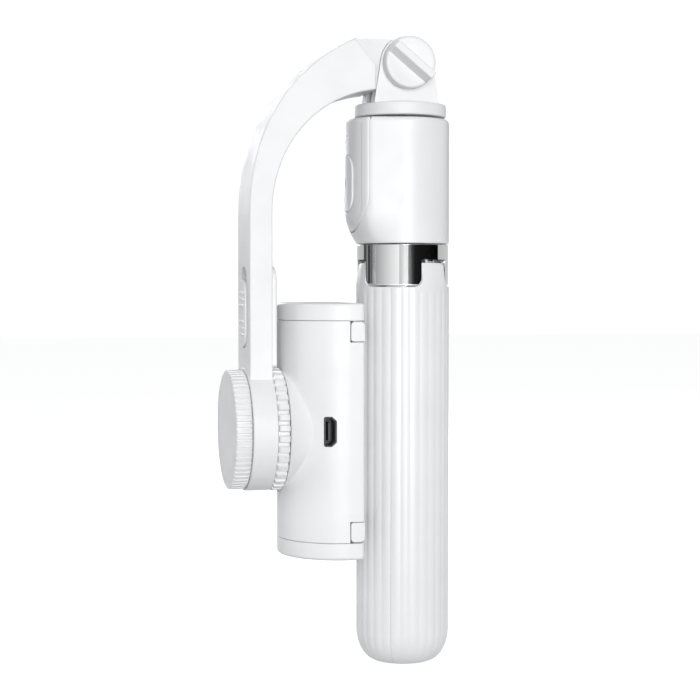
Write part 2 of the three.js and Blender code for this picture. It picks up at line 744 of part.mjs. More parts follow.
// The USB shell, open towards -Y, with two bevelled edges on its +X side
function makeUsbSocket() {
  const [w, h, bevel, wall] = [USB_W / 2, USB_H / 2, 1.1, 0.35];
  const section = (grow) =>
    outline([
      [USB_X - w + grow, USB_Z - h + grow],
      [USB_X + w - bevel, USB_Z - h + grow],
      [USB_X + w - grow, USB_Z - h + bevel],
      [USB_X + w - grow, USB_Z + h - bevel],
      [USB_X + w - bevel, USB_Z + h - grow],
      [USB_X - w + grow, USB_Z + h - grow],
    ]);
  const contacts = block(USB_X - 0.35, USB_X + 0.35, -15.9, -12, USB_Z - 2.6, USB_Z + 2.6);
  return join(cut(prismY(section(0), -16.7, -11.5), prismY(section(wall), -20, -12.5)), contacts);
}

// ---- assembly ----

const group = new THREE.Group();

addPart(group, "hub_collar", makeHub(), "chrome");
addPart(group, "pole_tube_outer", makePoleTube(0), "chrome");
const leg = makeLeg();
const legPin = turnedY(ringProfile(0, LEG_PIN_R, -LEG_PIN_HALF, LEG_PIN_HALF), 16, LEG_PIVOT_R, LEG_PIVOT_Z);
for (const [letter, turnZ] of Object.entries(LEG_ANGLES)) {
  addPart(group, `leg_${letter}`, leg, "shell", { turnZ });
  addPart(group, `leg_pin_${letter}`, legPin, "steel", { turnZ });
}
for (let section = 1; section <= POLE_SECTIONS; section += 1) {
  addPart(group, `pole_tube_${section}`, makePoleTube(section), "chrome");
}

addPart(group, "head_housing", makeHead(), "shell");
addPart(group, "remote_panel", makePanelInsert(), "shell");
addPart(group, "shutter_button", makeButton(), "shell");
const lens = turnedX(ringProfile(0, 0.6, -PANEL_FACE + 0.1, -PANEL_FACE + 1.8), 12, 156);
addPart(group, "led_window", lens, "lens");
const tubeSocket = turnedZ(
  [
    [3.3, HEAD_LOW + 2.2],
    [9.5, HEAD_LOW + 2.2],
    [9.5, HEAD_LOW + 4],
    [5.5, HEAD_LOW + 6],
    [5.5, LAST_TUBE_TOP + 3],
    [0, LAST_TUBE_TOP + 3],
    [0, LAST_TUBE_TOP + GAP],
    [3.3, LAST_TUBE_TOP + GAP],
  ],
  24,
);
addPart(group, "pole_socket", tubeSocket, "black");
addPart(group, "remote_board", block(-10.5, -9.6, -5, 5, 130, 158), "board");
addPart(group, "remote_battery", turnedX(ringProfile(0, 5.4, -9.3, -7.9), 24, 149.8), "cell");

addPart(group, "swivel_fork", makeFork(), "shell");
const swivelScrew = turnedSwivel(
  [
    [0, 152.6],
    [1.5, 152.6],
    [1.5, DISC_TOP - 1.3],
    [2.8, DISC_TOP - 1.3],
    [2.8, DISC_TOP + 0.4],
    [0, DISC_TOP + 0.4],
  ],
  20,
);
addPart(group, "swivel_screw", swivelScrew, "steel");
addPart(group, "swivel_nut", turnedSwivel(ringProfile(1.8, 3.4, 153.4, 155.4), 6), "steel");
addPart(group, "swivel_washer", turnedSwivel(ringProfile(1.8, 7.6, 155.7, 156.8), 24), "steel");
addPart(group, "swivel_spring_washer", turnedSwivel(ringProfile(5.5, 7.6, 157.1, 158.7), 24), "steel");

addPart(group, "lock_knob", makeKnob(), "shell");
const bolt = turnedY(ringProfile(0, FOLD_BOLT_R, KNOB_BACK + GAP, EAR_OUT - 1), 24, FOLD_X, FOLD_Z);
addPart(group, "fold_bolt", bolt, "steel");
const boltCap = turnedY(ringProfile(0, 5.2, EAR_OUT + GAP, EAR_OUT + 1.6), 32, FOLD_X, FOLD_Z);
addPart(group, "bolt_cap", boltCap, "shell");

addPart(group, "arm_shell", makeArm(), "shell");
addPart(group, "arm_cover", makeArmCover(), "shell");
addPart(group, "power_switch", makeSwitchKnob(), "shell");
addPart(group, "switch_board", block(ARM_IN - 4, ARM_IN - 3, -6.5, 6.5, 92, 112), "board");
addPart(group, "motor_stator", makeStator(), "copper");
const bearings = { outer: [4.3, -48.3, -47], inner: [4.7, -45.6, -43.6] }; // radius, x from, x to
for (const [side, [r, x0, x1]] of Object.entries(bearings)) {
  addPart(group, `bearing_${side}`, turnedX(ringProfile(SHAFT_R + GAP, r, x0, x1), 24), "steel");
}

const shaftRoom = turnedX(ringProfile(0, SHAFT_R + GAP, SHAFT_OUT - GAP, SHAFT_IN + 1), 20);
addPart(group, "outer_wheel", cut(knurledDisc(WHEEL_R, 30, 0.5, WHEEL_OUT, WHEEL_IN), shaftRoom), "shell");
addPart(group, "motor_shaft", turnedX(ringProfile(0, SHAFT_R, SHAFT_OUT, SHAFT_IN), 20), "steel");
const bell = turnedX([
  [SHAFT_R + GAP, -42.7],
  [14.4, -42.7],
  [14.4, -46.6],
  [15.2, -46.6],
  [15.2, -41.9],
  [SHAFT_R + GAP, -41.9],
]);
addPart(group, "motor_bell", bell, "steel");
addPart(group, "motor_magnets", turnedX(ringProfile(12.4, 14.1, -46.6, -43)), "black");
addPart(group, "inner_ring", cut(knurledDisc(RING_R, 24, 0.6, RING_OUT, RING_IN), shaftRoom), "shell");

addPart(group, "clamp_body", makeClampBody(), "shell");
addPart(group, "face_plate", makeFacePlate(), "shell");
for (const [side, y] of [["left", 12.5], ["right", -12.5]]) {
  const pad = block(CLAMP_FACE + 0.02, PAD_FACE, y - 3.5, y + 3.5, MOTOR_Z - 24, MOTOR_Z + 24);
  addPart(group, `phone_pad_${side}`, pad, "soft");
}
addPart(group, "usb_socket", makeUsbSocket(), "black");
addPart(group, "main_board", block(-29.8, -28.7, -12, 12, 63.5, 95), "board");
addPart(group, "main_battery", block(-33.2, -26.6, -8.2, 8.2, 40, 62.5), "cell");

const jaw = makeJaw();
const claw = makeClaw();
const sides = { upper: { z: MOTOR_Z }, lower: { z: MOTOR_Z, turnX: Math.PI } };
for (const [side, place] of Object.entries(sides)) {
  addPart(group, `jaw_${side}`, jaw, "shell", place);
  addPart(group, `claw_${side}`, claw, "shell", place);
  addPart(group, `jaw_spring_${side}`, makeSpring(1, 2.8, SEAM - 3.6), "steel", place);
}

export default group;
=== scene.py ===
import json
import math

import bmesh
import bpy
from mathutils import Matrix, Vector


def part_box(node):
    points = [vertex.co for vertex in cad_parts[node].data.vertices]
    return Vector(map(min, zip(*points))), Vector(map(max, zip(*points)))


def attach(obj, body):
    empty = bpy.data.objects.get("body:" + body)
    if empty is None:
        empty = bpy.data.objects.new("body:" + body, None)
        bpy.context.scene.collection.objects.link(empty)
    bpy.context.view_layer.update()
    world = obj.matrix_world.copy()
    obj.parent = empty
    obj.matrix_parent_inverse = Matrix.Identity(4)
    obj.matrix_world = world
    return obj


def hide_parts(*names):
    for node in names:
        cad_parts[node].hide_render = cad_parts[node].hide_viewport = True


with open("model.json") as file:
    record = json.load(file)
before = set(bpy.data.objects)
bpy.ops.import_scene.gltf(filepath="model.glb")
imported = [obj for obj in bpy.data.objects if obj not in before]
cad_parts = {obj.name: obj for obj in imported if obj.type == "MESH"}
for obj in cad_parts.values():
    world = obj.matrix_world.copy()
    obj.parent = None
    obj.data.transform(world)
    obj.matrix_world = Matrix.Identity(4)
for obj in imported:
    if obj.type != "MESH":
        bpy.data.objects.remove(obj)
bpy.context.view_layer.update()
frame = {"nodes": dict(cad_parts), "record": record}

MM = 0.001
RECORD = frame["record"]
JOINTS = {joint["name"]: joint for joint in RECORD["behaviour"]["joints"]}
SLOTS = {row["node"]: row["material_slot"] for row in RECORD["subparts"]}


# ---- measures of the CAD part, in millimetres; span and joint_at read them from the frame ----

def span(node, axis):
    low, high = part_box(node)
    return low[axis] / MM, high[axis] / MM


def joint_at(name):
    return [value / MM for value in JOINTS[name]["pos_m"]]


FOLD_X, _, FOLD_Z = joint_at("arm_fold")
FOLD_AT = (FOLD_X, 0, FOLD_Z)
SWIVEL_AT = (joint_at("head_swivel")[0], 0, 0)
MOTOR_Z = joint_at("gimbal_roll")[2]
MOTOR_AT = (0, 0, MOTOR_Z)
PIVOT_X = joint_at("claw_upper_flip")[0]
PIVOT_UP = joint_at("claw_upper_flip")[2] - MOTOR_Z
HANDLE_R = 13.87
LEG_TOP = 112.05
LUG_TOP = span("leg_a", 2)[1]
PIN_X, PIN_Z = 11.4, 116.8
PIN_AT = (PIN_X, 0, PIN_Z)
LEG_ANGLES = {"a": 300, "b": 60, "c": 180}
HUB_LOW, HUB_TOP = span("hub_collar", 2)
HUB_R = 13.57
TUBE_R, TUBE_BORE_R = 9, 8.5
HEAD_LOW, HEAD_TOP = span("head_housing", 2)
HEAD_R = 13.8
PANEL_FACE = -span("head_housing", 0)[0]
PANEL_BULGE_R = 15.7
PANEL_HALF_W = 10.5
INSERT_HALF_W = 10.1
INSERT_LOW = 128.3
BUTTON_LOW, BUTTON_TOP = span("shutter_button", 2)
BUTTON_HALF_W = span("shutter_button", 1)[1]
LED_Z = 156
DISC_LOW, DISC_TOP = 162.1, 165.8
DISC_R = 13.6
EAR_IN, EAR_OUT = 3.3, 7.8
BOLT_BORE_R = 2.3
ARM_OUT, ARM_IN = -48.2, -41.5
ARM_HALF_W = 9.9
MOTOR_OUT, MOTOR_IN, MOTOR_R = -48.6, -41.4, 18.0
SHAFT_R = 2.3
WHEEL_R, WHEEL_TEETH = 17.5, 64
WHEEL_OUT = span("outer_wheel", 0)[0]
RING_R, RING_TEETH = 18.1, 36
RING_IN = span("inner_ring", 0)[1]
CLAMP_CX, CLAMP_R, CLAMP_WALL = -19.9, 18.2, 1.8
CLAMP_FACE = span("face_plate", 0)[1]
SEAM, SEAM_GAP, CLAMP_HALF = 32.0, 0.06, 37.0
BRIDGE_BACK, BRIDGE_FRONT = -25.8, -21.4
CLAW_BACK, CLAW_LOW = -20.4, 26.0
GAP = 0.3


# ---- mesh building, in millimetres ----

RIM_ANGLES = (0.4, 0.8, 1.2, math.pi / 2)



def make(name, verts, faces):
    mesh = bpy.data.meshes.new(name)
    mesh.from_pydata([tuple(v) for v in verts], [], faces)
    work = bmesh.new()
    work.from_mesh(mesh)
    bmesh.ops.remove_doubles(work, verts=work.verts, dist=1e-4)
    bmesh.ops.recalc_face_normals(work, faces=work.faces)
    work.to_mesh(mesh)
    work.free()
    obj = bpy.data.objects.new(name, mesh)
    bpy.context.scene.collection.objects.link(obj)
    return obj


def along(axis, at=(0, 0, 0)):
    """Puts a form drawn about Z on another axis: 'x' and 'y' take its height to X or Y."""
    turns = {
        "z": lambda p: (p[0], p[1], p[2]),
        "x": lambda p: (p[2], p[0], p[1]),
        "y": lambda p: (p[0], p[2], p[1]),
    }
    turn = turns[axis]
    return lambda p: tuple(a + b for a, b in zip(turn(p), at))


def rows_to_faces(rows, closed=False):
    faces = []
    pairs = list(zip(rows, rows[1:]))
    if closed:
        pairs.append((rows[-1], rows[0]))
    for low, high in pairs:
        n = max(len(low), len(high))
        for i in range(n):
            j = (i + 1) % n
            if len(low) == 1:
                faces.append((low[0], high[i], high[j]))
            elif len(high) == 1:
                faces.append((low[i], low[j], high[0]))
            else:
                faces.append((low[i], low[j], high[j], high[i]))
    return faces


def capped(rows):
    """Faces between the rows, and one face on the first and on the last of them."""
    return rows_to_faces(rows) + [tuple(rows[0]), tuple(reversed(rows[-1]))]


def lathe(name, profile, n, axis="z", at=(0, 0, 0), closed=False, ripple=None):
    """Turns points (radius, height[, depth of the ripple]) about an axis."""
    put = along(axis, at)
    verts, rows = [], []
    for point in profile:
        r, h = point[:2]
        depth = point[2] if len(point) > 2 else 0
        if r < 1e-6:
            rows.append([len(verts)])
            verts.append(put((0, 0, h)))
            continue
        row = []
        for i in range(n):
            angle = 2 * math.pi * i / n
            radius = r - (depth * ripple(angle) if ripple else 0)
            row.append(len(verts))
            verts.append(put((radius * math.cos(angle), radius * math.sin(angle), h)))
        rows.append(row)
    return make(name, verts, rows_to_faces(rows, closed))


def corner(cx, cy, r, start, end, steps=5):
    """Points on an arc, for a rounded corner of a profile."""
    out = []
    for i in range(steps + 1):
        angle = math.radians(start + (end - start) * i / steps)
        out.append((cx + r * math.cos(angle), cy + r * math.sin(angle)))
    return out


def ring_profile(inner, outer, low, high, r):
    """Profile of a disc or ring with rounded outer edges."""
    edge = corner(outer - r, low + r, r, -90, 0) + corner(outer - r, high - r, r, 0, 90)
    return [(inner, low)] + edge + [(inner, high)]


def disc(name, inner, outer, low, high, r, n=96, axis="z", at=(0, 0, 0)):
    return lathe(name, ring_profile(inner, outer, low, high, r), n, axis, at, closed=inner > 0)


def rod(r, reach, n, at):
    """A bar along Y, as long as the reach to both sides, to cut a hole with."""
    return lathe("rod", [(0, -reach), (r, -reach), (r, reach), (0, reach)], n, "y", at)


def offset(points, inset):
    """Moves a closed outline inwards by the inset."""
    if not inset:
        return list(points)
    area = sum(a[0] * b[1] - b[0] * a[1] for a, b in zip(points, points[1:] + points[:1]))
    side = 1 if area > 0 else -1
    out = []
    n = len(points)
    for i in range(n):
        a, p, b = points[i - 1], points[i], points[(i + 1) % n]
        u = Vector((p[0] - a[0], p[1] - a[1])).normalized()
        w = Vector((b[0] - p[0], b[1] - p[1])).normalized()
        normals = Vector((-u.y, u.x)) * side, Vector((-w.y, w.x)) * side
        miter = normals[0] + normals[1]
        scale = inset / max(0.35, 1 + normals[0].dot(normals[1]))
        out.append((p[0] + miter.x * scale, p[1] + miter.y * scale))
    return out


def prism(name, outline, low, high, r=0.0, r_low=None, axis="z", steps=4):
    """An extruded outline whose rims are rounded by r (and by r_low at the low end)."""
    r_low = r if r_low is None else r_low
    put = along(axis)
    levels = []
    for i in range(steps + 1):
        angle = math.pi / 2 * i / steps
        levels.append((low + r_low * (1 - math.cos(angle)), r_low * (1 - math.sin(angle))))
    for i in range(steps + 1):
        angle = math.pi / 2 * i / steps
        levels.append((high - r * (1 - math.sin(angle)), r * (1 - math.cos(angle))))
    if not r_low:
        levels = levels[steps:]
    if not r:
        levels = levels[: -steps]
    verts, rows = [], []
    for height, inset in levels:
        rows.append(list(range(len(verts), len(verts) + len(outline))))
        verts += [put((p[0], p[1], height)) for p in offset(outline, inset)]
    return make(name, verts, capped(rows))


def block(name, x0, x1, y0, y1, z0, z1, r=0.0):
    """A box drawn in X and Z; its corners are rounder than its rims, so that no edge shrinks to nothing."""
    c = 1.5 * r
    if c:
        outline = (
            corner(x1 - c, z1 - c, c, 0, 90) + corner(x0 + c, z1 - c, c, 90, 180)
            + corner(x0 + c, z0 + c, c, 180, 270) + corner(x1 - c, z0 + c, c, 270, 360)
        )
    else:
        outline = [(x1, z1), (x0, z1), (x0, z0), (x1, z0)]
    return prism(name, outline, y0, y1, r, axis="y")


def settle(obj):
    """Applies an object's modifiers to its mesh."""
    graph = bpy.context.evaluated_depsgraph_get()
    mesh = bpy.data.meshes.new_from_object(obj.evaluated_get(graph))
    obj.modifiers.clear()
    obj.data = mesh
    return obj


def combine(obj, operation, *tools):
    for tool in tools:
        mod = obj.modifiers.new("combine", "BOOLEAN")
        mod.operation = operation
        mod.object = tool
        mod.solver = "EXACT"
    settle(obj)
    for tool in tools:
        bpy.data.objects.remove(tool)
    return obj


def join(obj, *tools):
    return combine(obj, "UNION", *tools)


def cut(obj, *tools):
    return combine(obj, "DIFFERENCE", *tools)


def common(obj, tool):
    return combine(obj, "INTERSECT", tool)


def soften(obj, width, segments, angle):
    """Bevels the edges that are sharper than the angle."""
    mod = obj.modifiers.new("soften", "BEVEL")
    mod.width = width
    mod.segments = segments
    mod.limit_method = "ANGLE"
    mod.angle_limit = math.radians(angle)
    mod.miter_outer = "MITER_ARC"
    mod.use_clamp_overlap = True
    return settle(obj)


def copy(obj, name, matrix):
    twin = bpy.data.objects.new(name, obj.data.copy())
    twin.data.transform(matrix)
    bpy.context.scene.collection.objects.link(twin)
    return twin


def finish_piece(obj, body, material, *nodes, sharp=38):
    """Takes a form from millimetres to metres and makes it a piece of the object."""
    work = bmesh.new()
    work.from_mesh(obj.data)
    bmesh.ops.dissolve_degenerate(work, edges=work.edges, dist=1e-4)
    loose = [v for v in work.verts if not v.link_faces]
    bmesh.ops.delete(work, geom=loose, context="VERTS")
    bmesh.ops.scale(work, vec=(MM, MM, MM), verts=work.verts)
    work.to_mesh(obj.data)
    work.free()
    obj.data.shade_smooth()
    obj.data.set_sharp_from_angle(angle=math.radians(sharp))
    weighted = obj.modifiers.new("normals", "WEIGHTED_NORMAL")
    weighted.keep_sharp = True
    obj.data.materials.clear()
    obj.data.materials.append(MATERIALS[material])
    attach(obj, body)
    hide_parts(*nodes)
    return obj


# ---- materials ----

def material(name, base, rough, metal=0.0, *, grain, bump, vary=0.02, coat=0.0, stretch=(1, 1, 1)):
    """A shader whose colour, roughness and grain vary with noise; grain and bump are in millimetres."""
    mat = bpy.data.materials.new(name)
    mat.use_nodes = True
    nodes, links = mat.node_tree.nodes, mat.node_tree.links
    shader = nodes["Principled BSDF"]
    shader.inputs["Metallic"].default_value = metal
    shader.inputs["Coat Weight"].default_value = coat
    place = nodes.new("ShaderNodeTexCoord")
    mapping = nodes.new("ShaderNodeMapping")
    mapping.inputs["Scale"].default_value = stretch
    links.new(place.outputs["Object"], mapping.inputs["Vector"])

    def noise(size_mm, detail):
        node = nodes.new("ShaderNodeTexNoise")
        node.inputs["Scale"].default_value = 1 / (size_mm * MM)
        node.inputs["Detail"].default_value = detail
        links.new(mapping.outputs["Vector"], node.inputs["Vector"])
        return node

    cloudy = noise(size_mm=18, detail=3)
    ramp = nodes.new("ShaderNodeValToRGB")
    ramp.color_ramp.elements[0].position = 0.35
    ramp.color_ramp.elements[0].color = [c * (1 - vary) for c in base] + [1]
    ramp.color_ramp.elements[1].position = 0.65
    ramp.color_ramp.elements[1].color = [min(1, c * (1 + vary)) for c in base] + [1]
    links.new(cloudy.outputs["Fac"], ramp.inputs["Fac"])
    links.new(ramp.outputs["Color"], shader.inputs["Base Color"])

    smudge = noise(size_mm=6, detail=4)
    to_rough = nodes.new("ShaderNodeMapRange")
    to_rough.inputs["From Min"].default_value = 0.3
    to_rough.inputs["From Max"].default_value = 0.7
    to_rough.inputs["To Min"].default_value = rough * 0.85
    to_rough.inputs["To Max"].default_value = rough * 1.15
    links.new(smudge.outputs["Fac"], to_rough.inputs["Value"])
    links.new(to_rough.outputs["Result"], shader.inputs["Roughness"])

    fine = noise(grain, detail=2)
    relief = nodes.new("ShaderNodeBump")
    relief.inputs["Strength"].default_value = 0.5
    relief.inputs["Distance"].default_value = bump * MM
    links.new(fine.outputs["Fac"], relief.inputs["Height"])
    links.new(relief.outputs["Normal"], shader.inputs["Normal"])
    return mat


WHITE = (0.80, 0.805, 0.815)
MATERIALS = {
    "shell": material("white_shell", WHITE, 0.42, grain=0.30, bump=0.006),
    "satin": material("satin_shell", WHITE, 0.34, grain=0.25, bump=0.004),
    "grained": material("grained_shell", WHITE, 0.5, grain=0.22, bump=0.010),
    "chrome": material("chrome_plate", (0.88, 0.885, 0.89), 0.05, 1.0, grain=3, bump=0.001, vary=0.01),
    "tube": material(
        "polished_tube", (0.74, 0.75, 0.76), 0.16, 1.0, grain=0.12, bump=0.002, stretch=(1, 1, 0.02)
    ),
    "steel": material("plain_steel", (0.6, 0.61, 0.63), 0.3, 1.0, grain=0.2, bump=0.003, vary=0.05),
    "black": material("black_plastic", (0.012, 0.012, 0.013), 0.45, grain=0.3, bump=0.006, vary=0.1),
    "board": material("solder_mask", (0.03, 0.15, 0.07), 0.4, grain=0.9, bump=0.02, vary=0.15, coat=0.3),
    "cell": material("cell_foil", (0.5, 0.52, 0.55), 0.4, 0.7, grain=1.5, bump=0.03, vary=0.06),
    "copper": material("copper_wire", (0.62, 0.3, 0.13), 0.35, 1.0, grain=0.25, bump=0.05, vary=0.1),
    "rubber": material("pad_rubber", (0.66, 0.67, 0.68), 0.85, grain=0.35, bump=0.03, vary=0.03),
    "lens": material("milky_lens", (0.78, 0.8, 0.83), 0.18, grain=1, bump=0.001, coat=0.4),
}
SLOT_MATERIALS = {
    "white_shell": "shell", "leg_shell": "satin", "arm_white": "grained", "wheel_shell": "grained",
    "chrome_collar": "chrome", "pole_steel": "tube", "steel_parts": "steel", "black_parts": "black",
    "circuit_board": "board", "cells": "cell", "copper_coils": "copper", "pad_rubber": "rubber",
    "led_lens": "lens",
}


# ---- handle ----

FLUTE_PITCH = math.radians(12)
FLUTE_DEPTH = 0.17
SEAM_SOFT = 0.7


def smooth(t):
    t = max(0.0, min(1.0, t))
    return t * t * (3 - 2 * t)


def flute(angle):
    """1 in a groove, 0 on a ridge's crown; each leg's edges are softened as well."""
    u = (angle / FLUTE_PITCH) % 1
    ridge = math.sin(math.pi * u)
    to_seam = abs((angle + math.pi) % (2 * math.pi / 3) - math.pi / 3) * HANDLE_R
    return max(1 - ridge, 0.35 * (1 - smooth(to_seam / SEAM_SOFT)))


def lug_outline(half, base, top, fillet, crown):
    """A tab in Y and Z that widens into its base through round fillets."""
    right = corner(half + fillet, base + fillet, fillet, 270, 180)
    right += corner(half - crown, top - crown, crown, 0, 90)
    low = base - 2
    out = [(half + fillet, low)] + right
    return out + [(-y, z) for y, z in reversed(out)]


def make_legs():
    flat_r, round_h, straight_top = 7.7, 9.4, LEG_TOP - 2
    round_steps, straight_steps = 24, 8
    profile = [(0, 0), (flat_r - 1.5, 0)]
    for i in range(round_steps + 1):
        t = math.pi / 2 * i / round_steps
        z = round_h * (1 - math.cos(t))
        profile.append((flat_r + (HANDLE_R - flat_r) * math.sin(t), z, FLUTE_DEPTH * smooth(z / 8)))
    for i in range(1, straight_steps + 1):
        z = round_h + (straight_top - round_h) * i / straight_steps
        profile.append((HANDLE_R, z, FLUTE_DEPTH))
    edge = corner(HANDLE_R - 0.5, LEG_TOP - 0.5, 0.5, 0, 90)
    profile += [(r, z, FLUTE_DEPTH * 0.8) for r, z in edge] + [(0, LEG_TOP)]
    leg = lathe("leg", profile, n=540, ripple=flute)

    seam_gap, reach = 0.04, 40
    wedge = [(seam_gap, 0)]
    for degrees in (-60, 0, 60):
        a = math.radians(degrees)
        wedge.append((seam_gap + reach * math.cos(a), reach * math.sin(a)))
    common(leg, prism("wedge", wedge, -1, LEG_TOP + 1))
    bore_r, bore_low = 9.4, 12
    cut(leg, disc("bore", 0, bore_r, bore_low, LEG_TOP + 5, r=1.5))

    half_w, fillet, crown = 4.7, 2.5, 0.4
    lug = prism("lug", lug_outline(half_w, LEG_TOP - 0.05, LUG_TOP, fillet, crown), 8.5, 15, axis="x")
    band_low, band_r = LEG_TOP - 1.5, HANDLE_R - 0.02
    band = [(9.35, band_low), (band_r, band_low), (band_r, LEG_TOP + 0.9)]
    band += [(13.1, LUG_TOP - 0.6), (12.6, LUG_TOP)] + corner(PIN_X, PIN_Z, LUG_TOP - PIN_Z, 95, 172)
    common(lug, lathe("band", band, 180, closed=True))
    join(leg, lug)
    cut(leg, rod(0.85, 8, 32, PIN_AT))
    soften(leg, 0.12, 2, 60)
    for letter, angle in LEG_ANGLES.items():
        turned = copy(leg, f"leg_{letter}_grip", Matrix.Rotation(math.radians(angle), 4, "Z"))
        finish_piece(turned, f"leg_{letter}", "satin", f"leg_{letter}")
    bpy.data.objects.remove(leg)


def make_hub():
    bore_r, foot_r, top_r = 9.3, 0.35, 0.1
    rim = corner(HUB_R - foot_r, HUB_LOW + foot_r, foot_r, -90, 0)
    rim += corner(HUB_R - top_r, HUB_TOP - top_r, top_r, 0, 90)
    hub = lathe("hub_chrome", [(bore_r, HUB_LOW)] + rim + [(bore_r, HUB_TOP)], 256, closed=True)
    half_w, pocket_top, fillet, crown = 5.0, 120.0, 2.3, 0.4
    for angle in LEG_ANGLES.values():
        outline = lug_outline(half_w, HUB_LOW - 0.05, pocket_top, fillet, crown)
        pocket = prism("pocket", outline, 8, 16, axis="x")
        pocket.data.transform(Matrix.Rotation(math.radians(angle), 4, "Z"))
        cut(hub, pocket)
    soften(hub, 0.22, 3, 50)
    finish_piece(hub, "hub", "chrome", "hub_collar")
    pin_r, pin_half = 0.75, 5.8
    for letter, angle in LEG_ANGLES.items():
        pin = disc(f"leg_pin_{letter}_turned", 0, pin_r, -pin_half, pin_half, 0.15, 32, "y", PIN_AT)
        pin.data.transform(Matrix.Rotation(math.radians(angle), 4, "Z"))
        finish_piece(pin, "hub", "steel", f"leg_pin_{letter}")


def make_pole():
    """Tubes that slide into each other; each has a foot wider than itself and a narrow neck."""
    bodies = ["hub"] + [f"pole_{i}" for i in range(1, 6)] + ["head"]
    foot_h, neck_h, slope, lip = 5, 4, 0.4, 0.25
    for section, body in enumerate(bodies):
        node = "pole_tube_outer" if section == 0 else f"pole_tube_{section}"
        low, high = span(node, 2)
        outer, inner = TUBE_R - section, TUBE_BORE_R - section
        last = section == len(bodies) - 1
        foot = outer if section == 0 else outer + 0.4
        neck = inner if last else outer - 0.9
        profile = [(inner, low), (foot, low), (foot, low + foot_h), (outer, low + foot_h + slope)]
        profile += corner(outer - lip, high - lip, lip, 0, 90)
        profile += [(neck, high), (neck, high - neck_h), (inner, high - neck_h - slope)]
        tube = lathe(f"{node}_polished", profile, 96, closed=True)
        finish_piece(tube, body, "tube", node)


# ---- head ----

BLEND_W = 1.6


def head_radius(angle):
    """Radius of the head's outline: round, with the bulging panel on -X."""
    back, side = -math.cos(angle), abs(math.sin(angle))
    if back < 0.25:
        return HEAD_R
    shift = PANEL_FACE - PANEL_BULGE_R
    bulge = shift * back + math.sqrt(PANEL_BULGE_R ** 2 - (shift * side) ** 2)
    edge_x = shift + math.sqrt(PANEL_BULGE_R ** 2 - PANEL_HALF_W ** 2)
    normal = math.atan2(PANEL_HALF_W, edge_x) + math.acos(HEAD_R / math.hypot(edge_x, PANEL_HALF_W))
    away = normal - math.atan2(side, back)
    flank = HEAD_R / math.cos(min(away, 1.4)) if away > 0 else HEAD_R
    blend = min(1.0, max(0.0, 0.5 + (flank - bulge) / BLEND_W))
    return max(HEAD_R, flank + (bulge - flank) * blend - BLEND_W / 2 * blend * (1 - blend))


def head_form(name):
    """The head's outer form; below its chin the panel runs back into the round part."""
    chin, n = 9.5, 360
    top_r, low_r = 1.3, 0.5
    low_steps, chin_steps, top_steps = 4, 20, 6
    levels = []
    for i in range(low_steps + 1):
        t = math.pi / 2 * i / low_steps
        levels.append((HEAD_LOW + low_r * (1 - math.cos(t)), low_r * (1 - math.sin(t))))
    for i in range(1, chin_steps + 1):
        levels.append((HEAD_LOW + low_r + (chin + 1 - low_r) * i / chin_steps, 0))
    for i in range(top_steps + 1):
        t = math.pi / 2 * i / top_steps
        levels.append((HEAD_TOP - top_r * (1 - math.sin(t)), top_r * (1 - math.cos(t))))
    outline = [(2 * math.pi * i / n, head_radius(2 * math.pi * i / n)) for i in range(n)]
    verts, rows = [], []
    for z, inset in levels:
        swell = math.sin(math.pi / 2 * min(1.0, (z - HEAD_LOW) / chin))
        rows.append(list(range(len(verts), len(verts) + n)))
        for angle, full in outline:
            r = HEAD_R + (full - HEAD_R) * swell - inset
            verts.append((r * math.cos(angle), r * math.sin(angle), z))
    return make(name, verts, capped(rows))


def insert_outline(grow):
    half = INSERT_HALF_W + grow
    low = corner(0, INSERT_LOW + INSERT_HALF_W, half, 180, 360, 40)
    return low + [(half, HEAD_TOP + 2), (-half, HEAD_TOP + 2)]


def pill(half, low, high, steps=16):
    return corner(0, high - half, half, 0, 180, steps) + corner(0, low + half, half, 180, 360, steps)


def panel_x(y):
    """Where the bulging panel's surface lies at y."""
    return PANEL_BULGE_R - PANEL_FACE - math.sqrt(PANEL_BULGE_R ** 2 - y * y)


def make_head():
    outside, groove, groove_floor, insert_back = -20, 0.34, -12.3, -12.7
    housing = head_form("head_shell")
    recess = prism("recess", insert_outline(groove), outside, groove_floor, axis="x")
    cavity = disc("cavity", 0, HEAD_R - 1.7, HEAD_LOW + 1.7, HEAD_TOP - 2.4, 1.0)
    mouth = disc("mouth", 0, 10, HEAD_LOW - 1, HEAD_LOW + 3, 0.1)
    socket = disc("socket", 0, 5.3, HEAD_TOP - 4, HEAD_TOP + 1, 0.1, at=SWIVEL_AT)
    window = block("window", -PANEL_FACE, 0, -3, 3, BUTTON_LOW + 3, BUTTON_TOP - 3)
    cut(housing, recess, cavity, mouth, socket, window)
    soften(housing, 0.16, 2, 50)
    finish_piece(housing, "head", "shell", "head_housing")

    room_back, room_half_w, room_low = -14.8, 8.4, 133.5
    insert = head_form("panel_insert")
    common(insert, prism("slab", insert_outline(0), outside, insert_back, axis="x"))
    cut(insert, block("room", room_back, 0, -room_half_w, room_half_w, room_low, HEAD_TOP - 2))
    gap = 0.16
    key_outline = pill(BUTTON_HALF_W + gap, BUTTON_LOW - gap, BUTTON_TOP + gap)
    key_hole = prism("key_hole", key_outline, outside, -10, axis="x")
    led_hole = disc("led_hole", 0, 0.9, outside, -10, 0.1, 32, "x", (0, 0, LED_Z))
    cut(insert, key_hole, led_hole)
    soften(insert, 0.2, 2, 42)
    finish_piece(insert, "head", "shell", "remote_panel")

    make_button()
    lens_front, lens_back = -PANEL_FACE + 0.1, -PANEL_FACE + 1.8
    lens = disc("led_lens_dome", 0, 0.6, lens_front, lens_back, 0.25, 32, "x", (0, 0, LED_Z))
    finish_piece(lens, "head", "lens", "led_window")


